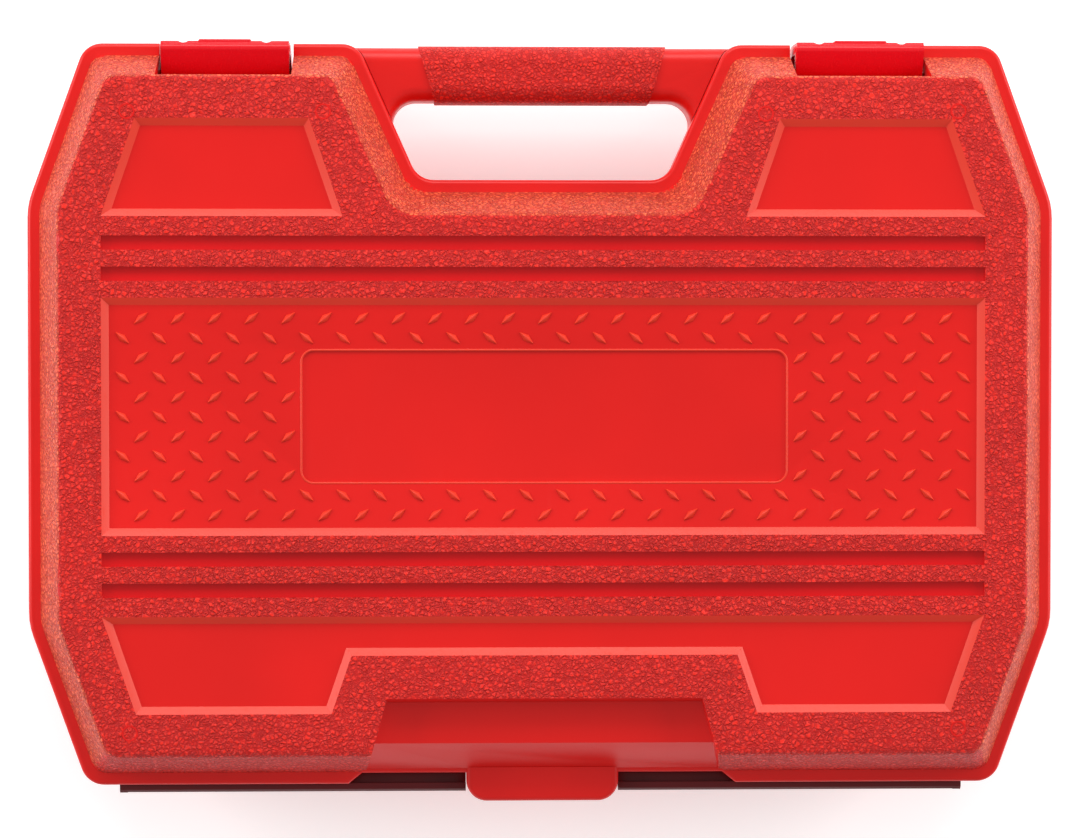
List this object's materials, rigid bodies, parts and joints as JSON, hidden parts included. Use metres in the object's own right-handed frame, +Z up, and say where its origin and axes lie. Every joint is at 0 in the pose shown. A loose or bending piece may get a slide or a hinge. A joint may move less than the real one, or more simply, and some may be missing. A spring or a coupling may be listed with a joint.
{
  "type": "socket wrench set in case",
  "caption": "Blow-moulded carrying case with a hinged lid, two snap latches and a handle, holding a half-inch drive ratchet, sockets and extension bars.",
  "frame": {"origin": "on the surface that the closed case lies on, under the middle of its box", "axes": "+X to the right along the handle, +Y towards the hinge at the rear, +Z up through the lid"},
  "size_m": [0.3404, 0.252, 0.072],
  "materials": {
    "bare_steel": "oiled machined steel",
    "case_plastic": "grained blow-moulded polyethylene",
    "control_steel": "machined",
    "grip_plastic": "grained moulded grip",
    "hinge_plastic": "thin folded polyethylene",
    "insert_rubber": "moulded rubber",
    "latch_plastic": "smooth moulded plastic",
    "lid_plastic": "grained blow-moulded polyethylene",
    "liner_plastic": "smooth blow-moulded polyethylene",
    "pin_steel": "bright wire",
    "socket_chrome": "satin chrome plate",
    "tool_chrome": "polished chrome plate"
  },
  "bodies": {
    "base": {"base_shell": "case_plastic", "base_tray": "liner_plastic", "carry_handle": "case_plastic", "cover_screws": "bare_steel", "extension_balls": "bare_steel", "extension_bar_long": "tool_chrome", "extension_bar_short": "tool_chrome", "head_cover_plate": "bare_steel", "hinge_web": "hinge_plastic", "latch_pins": "pin_steel", "pawl": "bare_steel", "pawl_spring": "bare_steel", "plug_insert_16": "insert_rubber", "plug_insert_21": "insert_rubber", "ratchet_body": "tool_chrome", "ratchet_grip": "grip_plastic", "socket_08": "socket_chrome", "socket_09": "socket_chrome", "socket_10": "socket_chrome", "socket_11": "socket_chrome", "socket_12": "socket_chrome", "socket_13": "socket_chrome", "socket_14": "socket_chrome", "socket_15": "socket_chrome", "socket_16": "socket_chrome", "socket_17": "socket_chrome", "socket_18": "socket_chrome", "socket_19": "socket_chrome", "socket_20": "socket_chrome", "socket_21": "socket_chrome", "socket_22": "socket_chrome", "socket_24": "socket_chrome", "socket_27": "socket_chrome", "socket_30": "socket_chrome", "socket_32": "socket_chrome", "spark_plug_socket_16": "socket_chrome", "spark_plug_socket_21": "socket_chrome", "tray_rim": "liner_plastic"},
    "lid": {"lid_shell": "lid_plastic", "lid_liner": "liner_plastic"},
    "latch_left": {"latch_left": "latch_plastic"},
    "latch_right": {"latch_right": "latch_plastic"},
    "drive": {"drive_gear": "bare_steel", "drive_ball": "bare_steel", "button_spring": "bare_steel"},
    "button": {"release_button": "control_steel"},
    "selector": {"selector_lever": "control_steel"}
  },
  "joints": [
    {"name": "lid_hinge", "type": "hinge", "parent": "base", "child": "lid", "pos_m": [0, 0.1224, 0.044], "axis": [-1, 0, 0], "range_deg": [0, 180], "deforming": ["hinge_web"]},
    {"name": "latch_left_pivot", "type": "hinge", "parent": "base", "child": "latch_left", "pos_m": [-0.1044, -0.1175, 0.0285], "axis": [1, 0, 0], "range_deg": [0, 95]},
    {"name": "latch_right_pivot", "type": "hinge", "parent": "base", "child": "latch_right", "pos_m": [0.1044, -0.1175, 0.0285], "axis": [1, 0, 0], "range_deg": [0, 95]},
    {"name": "drive_spin", "type": "hinge", "parent": "base", "child": "drive", "pos_m": [-0.116, 0.0824, 0.024], "axis": [0, 0, 1], "continuous": true},
    {"name": "selector_turn", "type": "hinge", "parent": "base", "child": "selector", "pos_m": [-0.101, 0.0824, 0.045], "axis": [0, 0, 1], "range_deg": [-60, 0]},
    {"name": "button_press", "type": "slide", "parent": "drive", "child": "button", "axis": [0, 0, -1], "range_m": [0, 0.0025], "stiffness_N_per_m": 300, "springref_m": -0.001, "deforming": ["button_spring"]}
  ]
}
